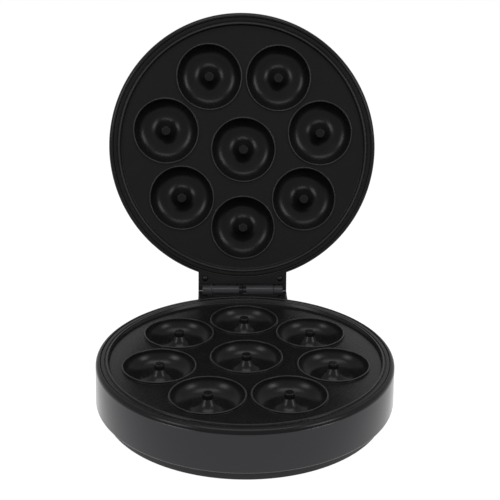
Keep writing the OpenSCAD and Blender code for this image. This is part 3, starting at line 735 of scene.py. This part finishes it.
def cast_pads(mesh):
    """Two low pads left by the casting on the flange at the front."""
    body, size = sizes().body, sizes().plate
    edge = body.rim_r - body.rim_w
    low, high = edge - size.flange_w - size.groove_w + 0.6, edge - 0.5
    for middle in PADS_AT:
        outlines = []
        for half, z in PAD_LEVELS:
            cut = (PAD_LEVELS[0][0] - half) * 2
            outlines.append([
                (*polar(r, a), z) for side, r in ((half, high - cut), (-half, low + cut))
                for a in fan(middle + side, middle - side, 6)
            ])
        skin(mesh, outlines)


def cooking_plate(name, place, body, node):
    """A whole plate: field and rim in one skin with the moulds that a pattern sets in it."""
    size = sizes().plate
    borders = []
    one = solid("mould", lambda mesh: borders.extend(mould_surfaces(mesh)))
    moulds = ring_of(name + "_moulds", one, "nonstick_coating", size.mould_count,
                     size.mould_ring_r, math.pi / 2, middle_one=True)
    mesh = bmesh.new()
    outer, inner = plate_rim(mesh)
    field(mesh, -size.flat_drop, outer, borders[0])
    field(mesh, -size.flat_drop - size.plate_t, inner, borders[1])
    mesh.from_mesh(moulds.data)
    bpy.data.objects.remove(moulds)
    bmesh.ops.remove_doubles(mesh, verts=mesh.verts, dist=2e-3)
    loose = [e for e in mesh.edges if len(e.link_faces) != 2]
    if loose:
        raise RuntimeError(f"{name}: {len(loose)} open edges")
    cast_pads(mesh)
    return finished(to_object(mesh, name), place, body, "nonstick_cast", "nonstick_coating", node)


class DONUT_OT_plates(bpy.types.Operator):
    """Make the two cooking plates"""

    bl_idname = "donut_maker.plates"
    bl_label = "Cooking plates"

    def execute(self, context):
        cooking_plate("lower_casting", IN_BASE, "base", "lower_plate")
        cooking_plate("upper_casting", IN_LID, "lid", "upper_plate")
        return {"FINISHED"}


# ---------------------------------------------------------------- rims and hinge


def soft_block(name, outline, low, high, edge=0.5):
    """A solid from an outline in x and y between two heights, with its upper and lower edge
    rounded. The outline runs anticlockwise."""
    corners = [Vector(p) for p in outline]
    shifts = []
    for last, here, following in zip(corners[-1:] + corners, corners, corners[1:] + corners[:1]):
        before, after = (here - last).normalized(), (following - here).normalized()
        inward = Vector((-before.y - after.y, before.x + after.x))
        shifts.append(inward / max(1 + before.dot(after), 0.4))
    rounds = [(edge * (1 - math.sin(a)), edge * (1 - math.cos(a))) for a in fan(0, 90, 4)]
    levels = [(low + rise, inset) for rise, inset in rounds[::-1]]
    levels += [(high - rise, inset) for rise, inset in rounds]
    outlines = [[(*(c + s * inset), z) for c, s in zip(corners, shifts)] for z, inset in levels]
    return solid(name, lambda mesh: skin(mesh, outlines))


def on_hinge_axis(made, x):
    """Turns a solid drawn along z, so that it lies along the hinge axis from an x."""
    made.data.transform(at(x, HINGE_Y) @ Matrix.Rotation(math.pi / 2, 4, "Y"))
    return made


def knuckle(name, start, end, radius):
    """A knuckle with slightly rounded ends on the hinge axis, between two x."""
    length = end - start
    profile = rounded([(0, 0, 0), (radius, 0, 0.5), (radius, length, 0.5), (0, length, 0)], 4)
    return on_hinge_axis(turned_solid(name, profile, AROUND_KNUCKLE), start)


def side_profile(name, outline, start, end, edge=0.4):
    """A solid from an outline in y and z, between two x, with rounded edges at its sides."""
    made = soft_block(name, outline, start, end, edge)
    made.data.transform(Matrix(((0, 0, 1, 0), (1, 0, 0, 0), (0, 1, 0, 0), (0, 0, 0, 1))))
    return made


def pocket_r():
    """Radius of the pocket that a plate lies in."""
    body = sizes().body
    return body.rim_r - body.rim_w + FIT


def ear_start():
    """Distance from the middle to the short knuckle."""
    size = sizes().hinge
    return size.barrel_x + size.barrel_len + size.knuckle_gap


def tongue_screw():
    """Where the head of a tongue's right screw sits."""
    body, size = sizes().body, sizes().hinge
    y = HINGE_Y - size.stop_d - size.screw_head_r - 3.2
    return ear_start() + size.ear_len * 0.7, y, -body.parting_gap - size.screw_head_h - FIT


def rim_ring(name):
    """The ring of a rim: ledge, pocket, rounded shoulder, and a skirt inside the shell."""
    body, plate = sizes().body, sizes().plate
    gap, drop, pocket = body.parting_gap, body.rim_drop, pocket_r()
    ledge, crest = pocket - body.ledge_w, body.rim_r - body.shoulder_w
    skirt = body.rim_r - body.wall_t - FIT
    seat = -plate.flat_drop - plate.plate_t
    low = seat - body.ledge_t
    shoulder = [
        (crest + body.shoulder_w * math.cos(a), -drop + (drop - gap) * math.sin(a), 0)
        for a in fan(90, 0, 10)
    ]
    corners = [
        (ledge, low, 0.3), (ledge, seat, 0.3), (pocket, seat, 0.2), (pocket, -0.6, 0.2),
        (pocket + 0.4, -gap, 0.3), *shoulder, (skirt, -drop, 0.2), (skirt - 0.7, low, 0.3),
    ]
    return turned_solid(name, closed_profile(corners, 3), closed=True)


def tongue_plate():
    """The tongue, from inside the ring to the stop face."""
    size = sizes().hinge
    half, front, back = size.tongue_hw, pocket_r() + 1.0, HINGE_Y - size.stop_d
    reach = math.degrees(math.asin(half / front))
    arc = [polar(front, a) for a in fan(90 + reach, 90 - reach, 24)]
    outline = [(half, back), (-half, back), *arc]
    return soft_block("tongue", outline, -size.tongue_t, -sizes().body.parting_gap)


def hinge_parts():
    """Knuckles, their lugs and the cheeks beside them."""
    size, gap, ear, y = sizes().hinge, sizes().body.parting_gap, ear_start(), HINGE_Y
    ear_end, long_start, long_end = ear + size.ear_len, PLAY - ear, -size.barrel_x
    parts = [
        knuckle("long", long_start, long_end, size.barrel_r),
        knuckle("short", ear, ear_end, size.barrel_r),
        knuckle("middle_collar", long_end - 2, -PLAY, size.collar_r),
    ]
    inner, t, lug = y - size.stop_d - 1, size.tongue_t, size.lug_len
    tilt, face = OPEN_ANGLE - math.pi / 2, size.stop_d - size.stop_gap
    stop = [(y + d, (face - d * math.sin(tilt)) / math.cos(tilt)) for d in (lug, 2.5)]
    outline = [
        (inner, -gap), (inner, -t), (y, -t), (y + lug * 0.7, -t), (y + lug, -t + 3), *stop,
        (y + 1, size.barrel_r * 0.9), (y, -gap),
    ]
    parts += [side_profile("lug", outline, *ends) for ends in ((long_start, -PLAY), (ear, ear_end))]
    cheek = size.tongue_hw - ear_end - PLAY
    outline = [(inner, -PLAY), (inner, -t), (y - PLAY, -t), (y - PLAY, -PLAY)]
    for start in (-size.tongue_hw, size.tongue_hw - cheek):
        parts.append(side_profile("cheek", outline, start, start + cheek, 0.1))
    return parts


def frame_moulding(name, place, body, node):
    """The black rim of a half with its tongue, knuckles and cheeks."""
    ring = rim_ring(name)
    combined(ring, [tongue_plate(), *hinge_parts()], "UNION")
    x, y, z = tongue_screw()
    head_r = sizes().hinge.screw_head_r
    cuts = [on_hinge_axis(cylinder("bore", PIN_BORE_R, 0, PIN_BORE_LEN), -ear_start())]
    cuts += [cylinder("sink", head_r + FIT, 0, 9, at(side, y, z)) for side in (-x, x)]
    combined(ring, cuts, "DIFFERENCE")
    return finished(ring, place, body, "black_phenolic", "satin_phenolic", node)


def screw():
    """A pan head with a cross recess, its seat on z = 0, and a short shank below."""
    size = sizes().hinge
    r, h = size.screw_head_r, size.screw_head_h
    profile = rounded([
        (0, -2, 0), (r * 0.6, -2, 0), (r * 0.6, 0, 0), (r, 0, 0.1), (r, h * 0.6, 0.5),
        (r * 0.55, h, 1.2), (0, h, 0),
    ], 4)
    made = turned_solid("screw", profile, 32)
    for a, b in ((r * 0.62, r * 0.14), (r * 0.14, r * 0.62)):
        arm = solid("arm", lambda mesh: block(mesh, (-a, -b, h * 0.35), (a, b, 4)))
        combined(made, [arm], "DIFFERENCE")
    return made


def screws(name, place, body, node):
    """The two screws of a tongue, by the row pattern."""
    x, y, z = tongue_screw()
    made = repeated(name, screw(), "black_oxide_steel", "row", **{
        "Count": 2, "Start x": -x, "Start y": y, "Spacing": 2 * x,
    })
    made.data.transform(at(0, 0, z))
    return finished(made, place, body, "bright_steel", "black_oxide_steel", node)


class DONUT_OT_rims(bpy.types.Operator):
    """Make the two black rims, with the tongues and knuckles of the hinge"""

    bl_idname = "donut_maker.rims"
    bl_label = "Rims and hinge"

    def execute(self, context):
        frame_moulding("base_rim", IN_BASE, "base", "base_frame")
        frame_moulding("lid_rim", IN_LID, "lid", "lid_frame")
        return {"FINISHED"}


class DONUT_OT_hinge_screws(bpy.types.Operator):
    """Make the screws that hold the tongues"""

    bl_idname = "donut_maker.hinge_screws"
    bl_label = "Hinge screws"

    def execute(self, context):
        screws("base_tongue_screws", IN_BASE, "base", "base_hinge_screws")
        screws("lid_tongue_screws", IN_LID, "lid", "lid_hinge_screws")
        return {"FINISHED"}


# ---------------------------------------------------------------- base wall, cover and dome


def hinge_block(name):
    """The shell's block under a tongue."""
    size = sizes().hinge
    half, h = size.tongue_hw, size.block_h
    inner = math.sqrt(pocket_r() ** 2 - half**2) - 1.5
    back, top = HINGE_Y - size.stop_d, -size.tongue_t
    return side_profile(name, rounded_loop([
        (inner, top, 0), (inner, top - h, 0), (back - 5, top - h, 2), (back - 3, top - h + 1, 2),
        (back, top - h / 2, 2), (back, top, 0),
    ]), -half, half, 0.6)


def tongue_room():
    """The room that a shell leaves for its tongue."""
    size = sizes().hinge
    x = size.tongue_hw + FIT
    return solid("room", lambda mesh: block(mesh, (-x, 60, -size.tongue_t), (x, 200, 9)))


def tongue_screw_holes():
    """Cylinders that drill a block for the tongue's screws."""
    x, y, _ = tongue_screw()
    return [cylinder("screw_hole", THREAD_R, -16, 5, at(side, y)) for side in (-x, x)]


class DONUT_OT_base_wall(bpy.types.Operator):
    """Make the painted wall of the base"""

    bl_idname = "donut_maker.base_wall"
    bl_label = "Base wall"

    def execute(self, context):
        size = sizes().body
        foot_r, top_r, t = size.rim_r + size.wall_flare, size.rim_r, size.wall_t
        low, high = size.plinth_h - PARTING_H, -size.rim_drop
        inner = foot_r - size.plinth_inset - size.cover_t + FIT
        corners = [
            (inner, low, 0.3), (foot_r, low, size.foot_round), (top_r, high, 0.55),
            (top_r - t, high, 0.55), (foot_r - t, low + t, size.foot_round - t),
            (inner, low + t, 0.3),
        ]
        wall = turned_solid("base_wall", closed_profile(corners, 8), closed=True)
        combined(wall, [hinge_block("base_block")], "UNION")
        cord = at(0, 0, CORD_Z - PARTING_H) @ Matrix.Rotation(-CORD_TURN, 4, "Z")
        cord @= Matrix.Rotation(-math.pi / 2, 4, "X")
        hole = cylinder("cord_hole", CORD_HOLE_R, 60, 200, cord)
        combined(wall, [tongue_room(), hole, *tongue_screw_holes()], "DIFFERENCE")
        finished(wall, IN_BASE, "base", "grey_shell", "gloss_grey_paint", "base_shell")
        return {"FINISHED"}


def vent_slot(mesh, low, high):
    """A slot with round ends, to be cut."""
    outline = [
        polar(VENT_W / 2, a, side * VENT_LEN / 2) for side, first in ((1, -90), (-1, 90))
        for a in fan(first, first + 180, 8)
    ]
    skin(mesh, [[(x, y, z) for x, y in outline] for z in (low, high)])


class DONUT_OT_bottom_cover(bpy.types.Operator):
    """Make the plinth and bottom with its vents, feet and screws"""

    bl_idname = "donut_maker.bottom_cover"
    bl_label = "Bottom cover"

    def execute(self, context):
        size, look = sizes().body, "satin_grey_plastic"
        plinth_r = size.rim_r + size.wall_flare - size.plinth_inset
        land_in = plinth_r - PLINTH_ROUND - size.land_w
        foot_ring = plinth_r - PLINTH_ROUND - size.land_w / 2
        t, panel, top = size.cover_t, size.panel_rise, size.plinth_h
        corners = [
            (0, panel, 0), (land_in - 1, panel, 0.5), (land_in, 0, 0.3),
            (plinth_r, 0, PLINTH_ROUND), (plinth_r, top, 0.3), (plinth_r - t, top, 0.3),
            (plinth_r - t, t, 0.6), (land_in + 1.6, t, 0.6), (land_in + 0.4, panel + t, 0.6),
            (0, panel + t, 0),
        ]
        cover = turned_solid("base_cover", rounded(corners, 4))
        slot = solid("slot", lambda mesh: vent_slot(mesh, panel - 1, panel + t + 1))
        vents = ring_of("vents", slot, look, 12, land_in * 0.6, math.pi / 12)
        well = cylinder("well", 2.6, -1, 8.5)
        wells = ring_of("wells", well, look, COVER_SCREWS, COVER_SCREW_R)
        pocket = cylinder("foot_pocket", 5.02, -1, 1.5)
        pockets = ring_of("pockets", pocket, look, 4, foot_ring, math.pi / 4)
        tower = cylinder("tower", 4.0, 0.5, top + 1.2)
        towers = ring_of("towers", tower, look, COVER_SCREWS, COVER_SCREW_R)
        combined(cover, [towers], "UNION")
        combined(cover, [vents, wells, pockets], "DIFFERENCE")
        finished(cover, ON_TABLE, "base", "plinth_grey", look, "bottom_cover")
        return {"FINISHED"}


def dome_height(r):
    """Height of the dome over the parting plane at a radius."""
    body, lid = sizes().body, sizes().lid
    rise = math.sin(math.acos(min(1.0, (r / body.rim_r) ** (1 / lid.dome_pow))))
    return body.rim_drop + (lid.dome_h - body.rim_drop) * rise**lid.dome_pow


def dome_profile(inset):
    """Side profile of the dome, set in by a thickness, from its edge to its top."""
    body, lid = sizes().body, sizes().lid
    r, h, p = body.rim_r - inset, lid.dome_h - body.rim_drop - inset, lid.dome_pow
    curve = fan(0, 90, 44)[:-1]
    made = [(r * math.cos(a) ** p, -body.rim_drop - h * math.sin(a) ** p) for a in curve]
    return [*made, (0, inset - lid.dome_h)]


class DONUT_OT_dome(bpy.types.Operator):
    """Make the painted dome of the lid"""

    bl_idname = "donut_maker.dome"
    bl_label = "Dome"

    def execute(self, context):
        lid = sizes().lid
        profile = dome_profile(sizes().body.wall_t)[::-1] + dome_profile(0)
        dome = turned_solid("dome", profile)
        combined(dome, [hinge_block("lid_block")], "UNION")
        cuts = [tongue_room(), *tongue_screw_holes()]
        for x in (-lid.lens_x, lid.lens_x):
            cuts.append(cylinder("lens_hole", lid.lens_r + FIT, -50, -20, at(x, -lid.lens_y)))
        combined(dome, cuts, "DIFFERENCE")
        finished(dome, IN_LID, "lid", "grey_shell", "gloss_grey_paint", "lid_shell")
        return {"FINISHED"}


def bent_bar(name, r1, r2, low, high, start, end, edge, steps=40):
    """A bar of rounded section that follows an arc about the axis, with closed ends."""
    corners = [(r1, low, edge), (r2, low, edge), (r2, high, edge), (r1, high, edge)]
    section = rounded_loop(corners, 5)
    outlines = [[(*polar(r, a), z) for r, z in section] for a in fan(start, end, steps)]
    return solid(name, lambda mesh: skin(mesh, outlines, clockwise=True))


class DONUT_OT_handle(bpy.types.Operator):
    """Make the arched handle"""

    bl_idname = "donut_maker.handle"
    bl_label = "Handle"

    def execute(self, context):
        lid = sizes().lid
        r1, r2 = lid.handle_r - lid.handle_w / 2, lid.handle_r + lid.handle_w / 2
        low = dome_height(r1) + lid.handle_gap
        start, end = -90 - lid.handle_deg / 2, -90 + lid.handle_deg / 2
        bar = bent_bar("handle", r1, r2, -low - lid.handle_t, -low, start, end, 3.0)
        feet = [
            bent_bar("foot", r1 + 1, r2 - 1, -low - 2, -6.7, foot, foot + 5, 1.2, 6)
            for foot in (start + 0.5, end - 5.5)
        ]
        combined(bar, feet, "UNION")
        under = turned_solid("under", [(0, -1.0), *dome_profile(-0.03)])
        combined(bar, [under], "DIFFERENCE")
        softened(bar, 0.8)
        finished(bar, IN_LID, "lid", "black_phenolic", "satin_phenolic", "lid_handle")
        return {"FINISHED"}


class DONUT_OT_lenses(bpy.types.Operator):
    """Make the two indicator lenses"""

    bl_idname = "donut_maker.lenses"
    bl_label = "Indicator lenses"

    def execute(self, context):
        lid = sizes().lid
        r = lid.lens_r
        top = -dome_height(math.hypot(lid.lens_x, lid.lens_y))
        profile = rounded([
            (0, top - 1.4, 0), (r * 0.5, top - 1.3, 3), (r, top - 0.5, 1.2), (r, top + 6, 0.3),
            (r - 1, top + 6, 0.3), (r - 1, top + 1, 0.3), (0, top + 1, 0),
        ])
        for x, name, look, node in (
            (-lid.lens_x, "red_lens", "red_polycarbonate", "power_lens"),
            (lid.lens_x, "green_lens", "green_polycarbonate", "ready_lens"),
        ):
            made = turned_solid(name, profile, 48)
            made.data.transform(at(x, -lid.lens_y))
            finished(made, IN_LID, "lid", name, look, node)
        return {"FINISHED"}


# ---------------------------------------------------------------- stage

FLOOR_R, FLOOR_Z = 8.0, -0.0004
GLOW_SHARE, FLOOR_GLOW = 0.8, 1.175  # part of the floor that glows for the camera, and how much
SKY = (0.25, 1.0)  # strength of the world as a light, and as it is seen
AIM = (0, 0.05, 0.1)  # what the soft boxes face
SOFT_BOXES = (  # name, place, width, height and power
    ("left_box", (-1.01, -0.71, 0.70), 0.5, 0.6, 8),
    ("right_box", (1.01, -0.71, 0.70), 0.5, 0.6, 8),
    ("top_box", (0, -0.26, 1.46), 1.2, 0.6, 12),
)
CAMERA_TURN = (5.569, 22.612, 2.243)  # heading, downward pitch and roll in degrees
CAMERA_AT = (-0.02596, -0.73425, 0.41241)
CAMERA_LENS = 73.833
CAMERA_SHIFT = (-0.1124, 0.0664)


def backdrop_strength(tree, plain, shown):
    """A strength that is one value for the camera, gloss and glass, and another for all else."""
    path = add(tree, "ShaderNodeLightPath").outputs
    seen = path["Is Camera Ray"]
    for ray in ("Is Glossy Ray", "Is Transmission Ray"):
        seen = add(tree, "ShaderNodeMath", {0: seen, 1: path[ray]}, operation="MAXIMUM").outputs[0]
    return add(tree, "ShaderNodeMapRange", {
        "Value": seen, "To Min": plain, "To Max": shown,
    }).outputs[0]


def lamp(name, place, width, height, power):
    """A soft box that faces the object."""
    data = bpy.data.lights.new(name, "AREA")
    data.shape, data.size, data.size_y, data.energy = "RECTANGLE", width, height, power
    made = bpy.data.objects.new(name, data)
    made.location = place
    made.rotation_euler = (Vector(AIM) - Vector(place)).to_track_quat("-Z", "Y").to_euler()
    bpy.context.scene.collection.objects.link(made)


def white_floor():
    """A round floor that is white in the picture and still takes the object's shadow."""
    white = tuple(sizes().finishes.backdrop) + (1.0,)
    look = bpy.data.materials.new("white_floor")
    look.use_nodes = True
    tree = look.node_tree
    tree.nodes.clear()
    plain = add(tree, "ShaderNodeBsdfDiffuse", {"Color": white})
    glow = add(tree, "ShaderNodeEmission", {
        "Color": white, "Strength": backdrop_strength(tree, 0.0, FLOOR_GLOW),
    })
    both = add(tree, "ShaderNodeMixShader", {
        0: GLOW_SHARE, 1: plain.outputs[0], 2: glow.outputs[0],
    })
    add(tree, "ShaderNodeOutputMaterial", {"Surface": both.outputs[0]})
    mesh = bmesh.new()
    bmesh.ops.create_circle(mesh, cap_ends=True, segments=64, radius=FLOOR_R)
    data = bpy.data.meshes.new("floor")
    mesh.to_mesh(data)
    mesh.free()
    floor = bpy.data.objects.new("floor", data)
    floor.location.z = FLOOR_Z
    data.materials.append(look)
    bpy.context.scene.collection.objects.link(floor)
    return floor


def white_world():
    """A world that lights little, and is white in the picture and in reflections."""
    white = tuple(sizes().finishes.backdrop) + (1.0,)
    world = bpy.data.worlds.new("studio")
    world.use_nodes = True
    tree = world.node_tree
    tree.nodes.clear()
    sky = add(tree, "ShaderNodeBackground", {
        "Color": white, "Strength": backdrop_strength(tree, *SKY),
    })
    add(tree, "ShaderNodeOutputWorld", {"Surface": sky.outputs[0]})
    return world


def camera():
    """The camera, from its heading, its downward pitch and its roll."""
    data = bpy.data.cameras.new("camera")
    made = bpy.data.objects.new("camera", data)
    bpy.context.scene.collection.objects.link(made)
    yaw, pitch, roll = (math.radians(angle) for angle in CAMERA_TURN)
    heading = Vector((math.sin(yaw), math.cos(yaw), 0))
    ahead = heading * math.cos(pitch) - Vector((0, 0, math.sin(pitch)))
    right = Vector((math.cos(yaw), -math.sin(yaw), 0))
    up = right.cross(ahead)
    right, up = (math.cos(roll) * right + math.sin(roll) * up,
                 math.cos(roll) * up - math.sin(roll) * right)
    turn = Matrix((right, up, -ahead)).transposed().to_4x4()
    made.matrix_world = Matrix.Translation(CAMERA_AT) @ turn
    data.sensor_width = 36
    data.lens = CAMERA_LENS
    data.shift_x, data.shift_y = CAMERA_SHIFT
    data.clip_start = 0.05
    return made


class DONUT_OT_stage(bpy.types.Operator):
    """Make the floor, the light and the camera"""

    bl_idname = "donut_maker.stage"
    bl_label = "Stage"

    def execute(self, context):
        scene = context.scene
        white_floor()
        scene.world = white_world()
        for box in SOFT_BOXES:
            lamp(*box)
        scene.view_settings.view_transform = "Standard"
        scene.camera = camera()
        return {"FINISHED"}


# ---------------------------------------------------------------- add-on


class DonutMaker(bpy.types.PropertyGroup):
    """All settings of the donut maker."""

    body: PointerProperty(type=BodySizes, name="Body")
    plate: PointerProperty(type=PlateSizes, name="Cooking plates")
    hinge: PointerProperty(type=HingeSizes, name="Hinge")
    lid: PointerProperty(type=LidSizes, name="Lid")
    finishes: PointerProperty(type=Finishes, name="Finishes")


OPERATORS = (
    DONUT_OT_finishes, DONUT_OT_plates, DONUT_OT_rims, DONUT_OT_hinge_screws, DONUT_OT_base_wall,
    DONUT_OT_bottom_cover, DONUT_OT_dome, DONUT_OT_handle, DONUT_OT_lenses, DONUT_OT_stage,
)


class DONUT_PT_panel(bpy.types.Panel):
    """Sidebar panel with every step of the donut maker"""

    bl_label = "Donut maker"
    bl_idname = "DONUT_PT_panel"
    bl_space_type = "VIEW_3D"
    bl_region_type = "UI"
    bl_category = "Donut maker"

    def draw(self, context):
        for step in OPERATORS:
            self.layout.operator(step.bl_idname)
        for group in ("body", "plate", "hinge", "lid", "finishes"):
            settings = getattr(context.scene.donut_maker, group)
            box = self.layout.box()
            box.label(text=group.title())
            for name in type(settings).__annotations__:
                box.prop(settings, name)


CLASSES = (
    BodySizes, PlateSizes, HingeSizes, LidSizes, Finishes, DonutMaker, *OPERATORS, DONUT_PT_panel,
)


def register():
    for item in CLASSES:
        bpy.utils.register_class(item)
    bpy.types.Scene.donut_maker = PointerProperty(type=DonutMaker)


def unregister():
    del bpy.types.Scene.donut_maker
    for item in reversed(CLASSES):
        bpy.utils.unregister_class(item)


def main():
    """Builds the scene."""
    register()
    for step in OPERATORS:
        group, name = step.bl_idname.split(".")
        getattr(getattr(bpy.ops, group), name)()
    bpy.context.view_layer.update()


if __name__ == "__main__":
    main()
